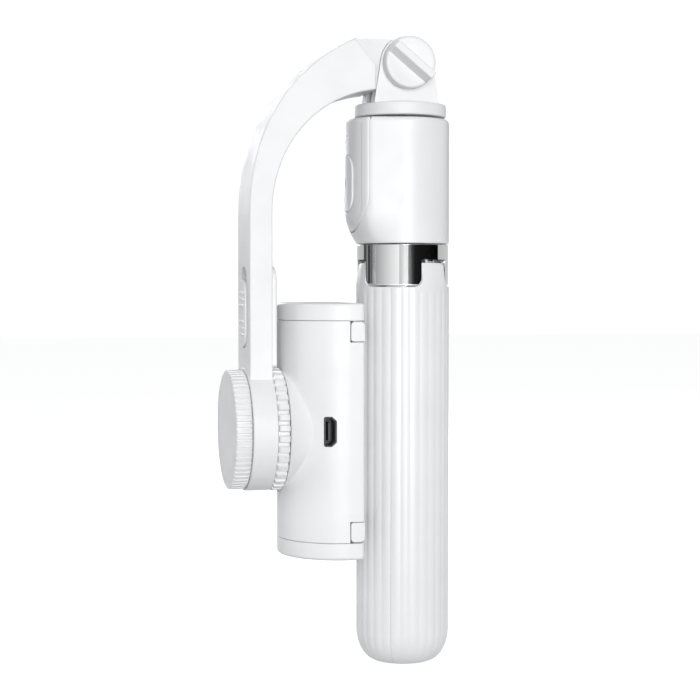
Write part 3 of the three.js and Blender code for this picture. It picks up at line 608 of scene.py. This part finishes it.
def make_button():
    """A pill-shaped key that follows the panel's bulge, with a shallow round dimple."""
    proud, rim, skirt, dimple_r, dimple_d = 0.35, 0.35, 1.7, 1.7, 0.22
    stem_r, stem_end = 1.5, -11.2
    middle = (BUTTON_LOW + BUTTON_TOP) / 2
    outline = pill(BUTTON_HALF_W, BUTTON_LOW, BUTTON_TOP, 24)
    verts, rows = [], []
    levels = [(0, skirt), (0, rim)]
    levels += [(rim * (1 - math.cos(t)), rim * (1 - math.sin(t))) for t in RIM_ANGLES]
    for inset, depth in levels:
        rows.append(list(range(len(verts), len(verts) + len(outline))))
        for y, z in offset(outline, inset):
            verts.append((panel_x(y) - proud + depth, y, z))
    inner = offset(outline, rim)
    steps = 26
    for i in range(1, steps):
        shrink = 1 - i / steps
        rows.append(list(range(len(verts), len(verts) + len(outline))))
        for y, z in inner:
            y, z = y * shrink, middle + (z - middle) * shrink
            away = math.hypot(y, z - middle)
            sink = dimple_d * (1 - smooth((away - dimple_r * 0.6) / (dimple_r * 0.4)))
            verts.append((panel_x(y) - proud + sink, y, z))
    rows.append([len(verts)])
    verts.append((-PANEL_FACE - proud + dimple_d, 0, middle))
    faces = rows_to_faces(rows) + [tuple(rows[0])]
    key = make("button_key", verts, faces)
    stem = disc("stem", 0, stem_r, -PANEL_FACE + 1.2, stem_end, 0.2, 32, "x", (0, 0, middle))
    join(key, stem)
    finish_piece(key, "button", "shell", "shutter_button", sharp=60)


# ---- fork and knob ----

def make_fork():
    screw_r, spigot_r, spigot_low = 1.9, 5, 157.6
    plate = disc("fork_body", screw_r, DISC_R, DISC_LOW, DISC_TOP, 0.55, 192, at=SWIVEL_AT)
    spigot = disc("spigot", screw_r, spigot_r, spigot_low, DISC_LOW + 1, 0.1, 96, at=SWIVEL_AT)
    join(plate, spigot)
    ear_r, base_half, root_z, foot_z = 8.0, 9.8, DISC_TOP - 1, DISC_TOP + 0.6
    ear = [(FOLD_X - base_half, root_z), (FOLD_X + base_half, root_z), (FOLD_X + base_half, foot_z)]
    ear += corner(FOLD_X, FOLD_Z, ear_r, 5, 175, 40) + [(FOLD_X - base_half, foot_z)]
    for side in (-1, 1):
        low, high = sorted((side * EAR_IN, side * EAR_OUT))
        cheek = prism("cheek", ear, low, high, axis="y")
        limit = disc("limit", 0, DISC_R - 0.7, DISC_TOP - 3, FOLD_Z + 20, 0.1, 192, at=SWIVEL_AT)
        join(plate, common(cheek, limit))
    sink = disc("sink", 0, 3.1, DISC_TOP - 1.6, DISC_TOP + 1, 0.1, 64, at=SWIVEL_AT)
    cut(plate, rod(BOLT_BORE_R, 20, 48, FOLD_AT), sink)
    soften(plate, 0.45, 4, 35)
    finish_piece(plate, "swivel", "grained", "swivel_fork")

    cap_r, edge_r, cap_out, dent_r, dent_floor = 5.0, 0.6, EAR_OUT + 1.6, 2.2, EAR_OUT + 1.3
    profile = [(0, EAR_OUT + GAP), (cap_r, EAR_OUT + GAP)]
    profile += corner(cap_r - edge_r, EAR_OUT + 1.0, edge_r, 0, 90)
    profile += [(dent_r, cap_out), (dent_r - 0.3, dent_floor), (0, dent_floor)]
    cap = lathe("bolt_cap_dome", profile, 96, "y", FOLD_AT)
    finish_piece(cap, "swivel", "grained", "bolt_cap")


def make_knob():
    """A round cap with a bar to turn it by, drawn along Y and then set at its slant on the fold's axis."""
    radius, rim, back, front, bar_front, slant = 7.5, 0.7, -8.2, -12.4, -17.2, 39
    profile = [(0, back), (radius - 0.4, back), (radius, back - 0.4)]
    for t in (0,) + RIM_ANGLES:
        profile.append((radius - rim * (1 - math.cos(t)), front + rim - rim * math.sin(t)))
    profile += [(radius - 1.5, front), (radius - 2.2, front + 0.15), (0, front + 0.15)]
    knob = lathe("lock_knob_grip", profile, 128, "y")
    root, tip, tip_r = 2.1, 1.15, 0.45
    bar = [(-root, front + 1), (root, front + 1)]
    bar += corner(tip - tip_r, bar_front + tip_r, tip_r, -10, -90)
    bar += corner(tip_r - tip, bar_front + tip_r, tip_r, -90, -170)
    grip = prism("grip", bar, -radius + 0.3, radius - 0.3, 0.5)
    join(knob, grip)
    soften(knob, 0.3, 3, 40)
    turn = Matrix.Rotation(math.radians(90 + slant), 4, "Y")
    knob.data.transform(Matrix.Translation(FOLD_AT) @ turn)
    finish_piece(knob, "knob", "grained", "lock_knob")


# ---- arm ----

CREST = (-16.9, 184)
SHOULDER = (-10.9, 176.4)
HEEL = (-10.9, 169.3)
STRAIGHT_TOP = 133


def bezier(a, b, c, d):
    steps = 48
    out = []
    for i in range(steps + 1):
        t = i / steps
        w = ((1 - t) ** 3, 3 * t * (1 - t) ** 2, 3 * t * t * (1 - t), t ** 3)
        out.append(tuple(sum(k * p[j] for k, p in zip(w, (a, b, c, d))) for j in (0, 1)))
    return out


def arm_cheeks():
    """Plates that slope from the arm's flat sides to the outline of the fork's ears."""
    inner_y, thick_y, thin_y = 8.05, 9.7, 8.4
    at_arm = [
        (-17.4, 183.7), (-15.6, 181.6), (-13.8, 179.5), (-12.3, 177.6),
        (-11.3, 176.1), (-11.3, 172.9), (-11.3, 169.6),
    ]
    at_ears = [
        (-5.6, 184.2), (-7.3, 182.7), (-8.5, 180.85), (-9.15, 178.75),
        (-9.35, 177.3), (-9.9, 173.4), (-10.45, 169.6),
    ]
    cheeks = []
    for side in (1, -1):
        verts, rows = [], []
        for (x0, z0), (x1, z1) in zip(at_arm, at_ears):
            ring = [(x0, inner_y, z0), (x0, thick_y, z0), (x1, thin_y, z1), (x1, inner_y, z1)]
            rows.append(list(range(len(verts), len(verts) + len(ring))))
            verts += [(x, side * y, z) for x, y, z in ring[::side]]
        cheeks.append(make("cheek", verts, capped(rows)))
    return cheeks


def make_arm():
    outer = bezier((ARM_OUT, STRAIGHT_TOP), (ARM_OUT, 156), (-37.5, 174.5), CREST)
    inner = bezier(HEEL, (-28, 167.3), (ARM_IN, 153), (ARM_IN, STRAIGHT_TOP))
    foot = MOTOR_Z + 4
    side = [(ARM_OUT, foot)] + outer + [SHOULDER] + inner + [(ARM_IN, foot)]
    arm = prism("arm_body", side, -ARM_HALF_W, ARM_HALF_W, 0.55, axis="y")
    tongue_r, tongue_half_w = 7.7, 3
    tongue = corner(FOLD_X, FOLD_Z, tongue_r, -90, 90, 32)
    tongue += [(CREST[0] + 0.3, FOLD_Z + 7.0), (CREST[0] + 0.5, HEEL[1] + 1.2), (HEEL[0], HEEL[1] + 0.15)]
    join(arm, prism("tongue", tongue, -tongue_half_w, tongue_half_w, 0.25, axis="y"))
    drum = disc("drum", 0, MOTOR_R, MOTOR_OUT, MOTOR_IN, 0.4, 192, "x", MOTOR_AT)
    join(arm, drum, *arm_cheeks())
    well_r, well_floor, eye_r = 15.6, -47.1, 4.6
    well = disc("well", 0, well_r, well_floor, MOTOR_IN + 5, 0.05, 128, "x", MOTOR_AT)
    eye = disc("eye", 0, eye_r, MOTOR_OUT - 1, -46, 0.05, 48, "x", MOTOR_AT)
    slot_half_w, slot_low, slot_top = 4.8, 94.1, 118
    slot = prism("slot", pill(slot_half_w, slot_low, slot_top), ARM_OUT - 1, ARM_OUT + 1.5, axis="x")
    pocket = block("pocket", ARM_IN - 4.5, ARM_IN + 1, -6.8, 6.8, 90.9, 114)
    cut(arm, well, eye, rod(BOLT_BORE_R, 20, 48, FOLD_AT), slot, pocket)
    soften(arm, 0.12, 2, 50)
    finish_piece(arm, "arm", "grained", "arm_shell")
    make_arm_cover()


def make_arm_cover():
    low, high = span("arm_cover", 2)
    x0, x1 = span("arm_cover", 0)
    half, top_r, foot_r = 8.3, 5, 0.8
    outline = corner(half - top_r, high - top_r, top_r, 0, 90, 10)
    outline += corner(top_r - half, high - top_r, top_r, 90, 180, 10)
    outline += corner(foot_r - half, low + foot_r, foot_r, 180, 270, 4)
    outline += corner(half - foot_r, low + foot_r, foot_r, 270, 360, 4)
    cover = prism("arm_cover_lid", outline, x0, x1, 0.6, 0.05, "x")
    finish_piece(cover, "arm", "grained", "arm_cover")


def make_switch():
    half_w, low, high = 4.5, 94.4, 114.1
    knob = prism("switch_slider", pill(half_w, low, high), ARM_OUT - 0.6, ARM_OUT + 1.2, 0.05, 0.35, "x")
    ridge_half_w, ridge_half_h = 2.8, 0.4
    for step in (-6, -4.2, -2.4, 2.4, 4.2, 6):
        z = (low + high) / 2 + step
        ridge = block(
            "ridge", ARM_OUT - 1.05, ARM_OUT, -ridge_half_w, ridge_half_w,
            z - ridge_half_h, z + ridge_half_h, 0.18,
        )
        join(knob, ridge)
    finish_piece(knob, "switch", "grained", "power_switch")


# ---- motor ----

def knurl(count, share):
    """Round-edged grooves that take up a share of the pitch."""
    def depth(angle):
        u = abs((angle * count / (2 * math.pi)) % 1 - 0.5) * 2
        return smooth((u - 1 + share) / (0.45 * share))
    return depth


def make_wheels():
    share = 0.5
    out, back, depth = WHEEL_OUT, MOTOR_OUT - 0.08, 0.55
    profile = [(0, out + 0.15), (WHEEL_R - 2.2, out + 0.15), (WHEEL_R - 1.7, out), (WHEEL_R - 0.9, out)]
    edge = corner(WHEEL_R - 0.7, out + 0.7, 0.7, 270, 360, 4)
    profile += [(r, h, depth * part) for (r, h), part in zip(edge, (0, 0.2, 0.6, 1, 1))]
    profile += [(WHEEL_R, back - 0.5, depth), (WHEEL_R - 0.5, back, depth)]
    profile += [(SHAFT_R, back), (SHAFT_R, -52.3), (0, -52.3)]
    ripple = knurl(WHEEL_TEETH, share)
    wheel = lathe("outer_wheel_knurled", profile, WHEEL_TEETH * 16, "x", MOTOR_AT, ripple=ripple)
    finish_piece(wheel, "clamp", "grained", "outer_wheel", sharp=50)

    out, back, depth = MOTOR_IN + 0.12, RING_IN, 1.0
    profile = [(SHAFT_R, out), (RING_R - 0.9, out)]
    profile += [(RING_R - 0.3, out + 0.2, depth), (RING_R, out + 0.6, depth)]
    profile += [(RING_R, back - 0.4, depth), (RING_R - 0.3, back, depth), (SHAFT_R, back)]
    ripple = knurl(RING_TEETH, share)
    ring = lathe("inner_ring_knurled", profile, RING_TEETH * 24, "x", MOTOR_AT, closed=True, ripple=ripple)
    finish_piece(ring, "clamp", "grained", "inner_ring", sharp=50)


# ---- clamp ----

def d_outline(radius, front, r=0.0):
    """The clamp's section seen from above, with its two front corners rounded by r."""
    if r:
        lead = corner(front - r, -radius + r, r, -90, 0) + corner(front - r, radius - r, r, 0, 90)
    else:
        lead = [(front, -radius), (front, radius)]
    return lead + corner(CLAMP_CX, 0, radius, 90, 270, 64)


def usb_outline(grow):
    """The socket's opening in X and Z, with bevelled corners on its +X side."""
    low, high = span("usb_socket", 2)
    left, right = span("usb_socket", 0)
    bevel, r = 1.25, 0.5
    outline = corner(left + r, high - r, r, 90, 180) + corner(left + r, low + r, r, 180, 270)
    outline += [(right - bevel, low), (right, low + bevel), (right, high - bevel), (right - bevel, high)]
    return offset(outline, -grow)


def make_usb():
    middle_x = sum(span("usb_socket", 0)) / 2
    low, high = span("usb_socket", 2)
    front, back = span("usb_socket", 1)
    socket = prism("usb_shell", usb_outline(0), front, back, 0.05, 0.12, "y")
    cut(socket, prism("inside", usb_outline(-0.32), front - 3, back - 0.8, axis="y"))
    x0, x1 = middle_x - 0.45, middle_x + 0.25
    tongue = block("tongue", x0, x1, front + 0.8, back - 0.5, low + 1.6, high - 1.6, 0.12)
    join(socket, tongue)
    finish_piece(socket, "clamp", "black", "usb_socket")


def make_clamp_shell():
    low, high = MOTOR_Z - SEAM + SEAM_GAP, MOTOR_Z + SEAM - SEAM_GAP
    shell = prism("clamp_shell", d_outline(CLAMP_R, CLAMP_FACE, 0.9), low, high, 0.14)
    start, end, flare_r, shrink, steps = -37.7, -29.6, 17.5, 3.4, 16
    flare = [(0, start), (flare_r, start)]
    for i in range(1, steps + 1):
        t = i / steps
        flare.append((flare_r - shrink * t ** 0.8, start + (end - start) * t))
    flare.append((0, end))
    join(shell, lathe("flare", flare, 256, "x", MOTOR_AT))
    room = disc("room", 0, 18.7, -46, start, 0.01, 128, "x", MOTOR_AT)
    half = CLAMP_R - CLAMP_WALL
    cavity = prism("cavity", d_outline(half, 0), low - 1, high + 1)
    common(cavity, block("front", -35.9, 1, -30, 30, 0, 150))
    cut(shell, room, cavity)
    bridge_half_w = half + 0.5
    bridge = block(
        "bridge", BRIDGE_BACK, BRIDGE_FRONT, -bridge_half_w, bridge_half_w, MOTOR_Z - 2, MOTOR_Z + 2
    )
    join(shell, bridge)
    tools = []
    for side in (1, -1):
        z0, z1 = sorted((MOTOR_Z + side * (CLAW_LOW - 0.2), MOTOR_Z + side * (CLAMP_HALF + 1)))
        tools.append(block("notch", CLAW_BACK - 0.25, 0, -30, 30, z0, z1))
    tools.append(prism("port", usb_outline(0.08), -25, -10, axis="y"))
    tools.append(disc("shaft_hole", 0, SHAFT_R, -45, -33.6, 0.1, 48, "x", MOTOR_AT))
    cut(shell, *tools)
    soften(shell, 0.14, 2, 50)
    finish_piece(shell, "clamp", "shell", "clamp_body")


def make_clamp():
    make_clamp_shell()
    reach = CLAW_LOW - 0.25
    plate_w = CLAMP_R - CLAMP_WALL - 0.15
    plate = block(
        "face_plate_panel", -17.7, CLAMP_FACE, -plate_w, plate_w, MOTOR_Z - reach, MOTOR_Z + reach, 0.2
    )
    finish_piece(plate, "clamp", "shell", "face_plate")
    make_usb()
    for side in ("left", "right"):
        node = f"phone_pad_{side}"
        (x0, x1), (y0, y1), (z0, z1) = (span(node, axis) for axis in range(3))
        middle, half_w = (y0 + y1) / 2, (y1 - y0) / 2
        outline = [(y + middle, z) for y, z in pill(half_w, z0, z1)]
        pad = prism(f"{node}_soft", outline, x0, x1, 0.22, 0.01, "x")
        finish_piece(pad, "clamp", "rubber", node)


def make_jaws():
    """Both ends of the clamp, drawn once with the motor's axis at z 0, and turned over for the lower one."""
    cap_low, cap_r = SEAM + SEAM_GAP, 1.0
    root = cap_low + 1
    jaw = prism("jaw", d_outline(CLAMP_R, CLAMP_FACE, 1.3), cap_low, CLAMP_HALF, cap_r, 0.14, steps=6)
    extras = [block("hook", BRIDGE_BACK, BRIDGE_FRONT, -11.5, 11.5, cap_low - 3, root, 0.2)]
    for side in (1, -1):
        y0, y1 = sorted((side * 12.1, side * 15.4))
        extras.append(block("rail", -24.2, CLAW_BACK - 0.8, y0, y1, 5, root, 0.2))
        y0, y1 = sorted((side * 6, side * 9))
        extras.append(block("clip", PIVOT_X - 2.4, PIVOT_X + 0.9, y0, y1, PIVOT_UP - 2.4, root, 0.2))
    join(jaw, *extras)
    pivot = (PIVOT_X, 0, PIVOT_UP)
    cut(jaw, rod(1.65, 20, 48, pivot))

    top = PIVOT_UP + (CLAMP_FACE - CLAW_BACK) / 2
    heel, front_r, back_r = 0.8, 1.3, 1.2
    outline = corner(CLAW_BACK + heel, CLAW_LOW + heel, heel, 180, 270) + [(CLAMP_FACE, CLAW_LOW)]
    outline += corner(CLAMP_FACE - front_r, top - front_r, front_r, 0, 90)
    outline += corner(CLAW_BACK + back_r, top - back_r, back_r, 90, 180)
    rod_r, rod_end, finger_in = 1.35, CLAMP_R - 0.5, 14.5
    claw = disc("claw", 0, rod_r, -rod_end, rod_end, 0.1, 48, "y", pivot)
    reaches = ((-CLAMP_R, -finger_in), (finger_in, CLAMP_R))
    join(claw, *[prism("finger", outline, y0, y1, 0.35, axis="y") for y0, y1 in reaches])
    lift = Matrix.Translation(MOTOR_AT)
    places = {"upper": lift, "lower": lift @ Matrix.Rotation(math.pi, 4, "X")}
    for side, place in places.items():
        finish_piece(copy(jaw, f"jaw_{side}_cap", place), f"jaw_{side}", "shell", f"jaw_{side}")
        finish_piece(copy(claw, f"claw_{side}_fingers", place), f"claw_{side}", "shell", f"claw_{side}")
    bpy.data.objects.remove(jaw)
    bpy.data.objects.remove(claw)


# ---- stage, in metres ----

LIT_POINT = Vector((0, 0, 0.09))
SENSOR_MM = 36
IMAGE_WIDTH, FOCAL_LENGTH = 700, 1600


def make_camera():
    data = bpy.data.cameras.new("camera")
    data.sensor_width = SENSOR_MM
    data.lens = SENSOR_MM * FOCAL_LENGTH / IMAGE_WIDTH
    data.clip_start = 0.01
    camera = bpy.data.objects.new("camera", data)
    bpy.context.scene.collection.objects.link(camera)
    camera.location = (-0.13127, -0.46151, 0.11253)
    camera.rotation_euler = (math.radians(90 - 2.3264), 0, math.radians(-14.0))
    bpy.context.scene.camera = camera


def light(name, azimuth, height, distance, width, length, power):
    data = bpy.data.lights.new(name, "AREA")
    data.shape = "RECTANGLE"
    data.size = width
    data.size_y = length
    data.energy = power
    obj = bpy.data.objects.new(name, data)
    bpy.context.scene.collection.objects.link(obj)
    a = math.radians(azimuth)
    obj.location = (distance * math.sin(a), -distance * math.cos(a), height)
    obj.rotation_mode = "QUATERNION"
    obj.rotation_quaternion = (LIT_POINT - obj.location).to_track_quat("-Z", "Y")
    obj.visible_camera = False


def card(name, start, end, radius, low, high, shade_start, shade_end):
    """A curved card, from azimuth start to end, glowing from one shade to the other in reflections only."""
    verts, shades, steps = [], [], 24
    for i in range(steps + 1):
        a = math.radians(start + (end - start) * i / steps)
        for z in (low, high):
            verts.append((radius * math.sin(a), -radius * math.cos(a), z))
            shades.append(shade_start + (shade_end - shade_start) * i / steps)
    faces = [(2 * i, 2 * i + 2, 2 * i + 3, 2 * i + 1) for i in range(steps)]
    obj = make(name, verts, faces)
    tint = obj.data.attributes.new("shade", "FLOAT", "POINT")
    for vertex, item in zip(obj.data.vertices, tint.data):
        nearest = min(range(len(verts)), key=lambda k: (Vector(verts[k]) - vertex.co).length)
        item.value = shades[nearest]
    mat = bpy.data.materials.new(name)
    mat.use_nodes = True
    nodes, links = mat.node_tree.nodes, mat.node_tree.links
    glow = nodes.new("ShaderNodeEmission")
    source = nodes.new("ShaderNodeAttribute")
    source.attribute_name = "shade"
    links.new(source.outputs["Fac"], glow.inputs["Strength"])
    links.new(glow.outputs["Emission"], nodes["Material Output"].inputs["Surface"])
    obj.data.materials.append(mat)
    obj.visible_camera = False
    obj.visible_diffuse = False
    obj.visible_shadow = False


def make_stage():
    world = bpy.data.worlds.new("world")
    bpy.context.scene.world = world
    world.use_nodes = True
    nodes, links = world.node_tree.nodes, world.node_tree.links
    lit = nodes["Background"]
    lit.inputs["Color"].default_value = (0.97, 0.98, 1.0, 1)
    lit.inputs["Strength"].default_value = 0.25
    seen = nodes.new("ShaderNodeBackground")
    seen.inputs["Color"].default_value = (1, 1, 1, 1)
    seen.inputs["Strength"].default_value = 1.05
    path = nodes.new("ShaderNodeLightPath")
    mix = nodes.new("ShaderNodeMixShader")
    links.new(path.outputs["Is Camera Ray"], mix.inputs["Fac"])
    links.new(lit.outputs["Background"], mix.inputs[1])
    links.new(seen.outputs["Background"], mix.inputs[2])
    links.new(mix.outputs["Shader"], nodes["World Output"].inputs["Surface"])

    floor = make("floor", [(-3, -3, 0), (3, -3, 0), (3, 3, 0), (-3, 3, 0)], [(0, 1, 2, 3)])
    floor.location.z = -0.0002
    mat = bpy.data.materials.new("floor")
    mat.use_nodes = True
    shader = mat.node_tree.nodes["Principled BSDF"]
    shader.inputs["Base Color"].default_value = (0.6, 0.6, 0.6, 1)
    shader.inputs["Roughness"].default_value = 0.9
    shader.inputs["Emission Color"].default_value = (1, 1, 1, 1)
    shader.inputs["Emission Strength"].default_value = 0.82
    floor.data.materials.append(mat)
    floor.visible_diffuse = False

    lights = {
        "key": (-6, 0.14, 0.8, 0.3, 0.4, 5.8),
        "fill_left": (-102, 0.2, 0.7, 0.3, 0.3, 1.1),
        "fill_right": (100, 0.25, 0.8, 0.5, 0.5, 0.9),
        "top": (10, 0.9, 0.3, 0.6, 0.6, 1.3),
        "back": (190, 0.35, 0.9, 0.5, 0.5, 3.5),
    }
    for name, values in lights.items():
        light(name, *values)
    bands = [
        (-196, -124, 0.62, 0.5), (-124, -96, 0.08, 0.06), (-96, -24, 0.28, 1.0), (-24, -12, 0.62, 0.66),
        (-12, -2, 0.8, 0.7), (-2, 14, 0.10, 0.015), (14, 84, 0.01, 0.0), (84, 164, 0.55, 0.65),
    ]
    for i, (start, end, shade_start, shade_end) in enumerate(bands):
        card(f"reflection_{i}", start, end, 0.42, 0.085, 0.15, shade_start, shade_end)
    # Glossy-only cards between the arm and the hub: a painted reflection of dark and lighter stripes in the
    # chrome collar, standing in for the arm's shaded inner side
    near = [(-112, -101, 0.08), (-101, -97, 0.28), (-97, -88, 0.06), (-88, -86, 0.25), (-86, -82.5, 0.1)]
    for i, (start, end, shade) in enumerate(near):
        card(f"reflection_stripe_{i}", start, end, 0.034, 0.113, 0.129, shade, shade)
    bpy.context.scene.view_settings.view_transform = "Standard"


make_camera()
make_stage()
make_legs()
make_hub()
make_pole()
make_head()
make_fork()
make_knob()
make_arm()
make_switch()
make_wheels()
make_clamp()
make_jaws()

for node, slot_name in SLOTS.items():
    obj = frame["nodes"][node]
    if not obj.hide_render:
        obj.data.materials.clear()
        obj.data.materials.append(MATERIALS[SLOT_MATERIALS[slot_name]])
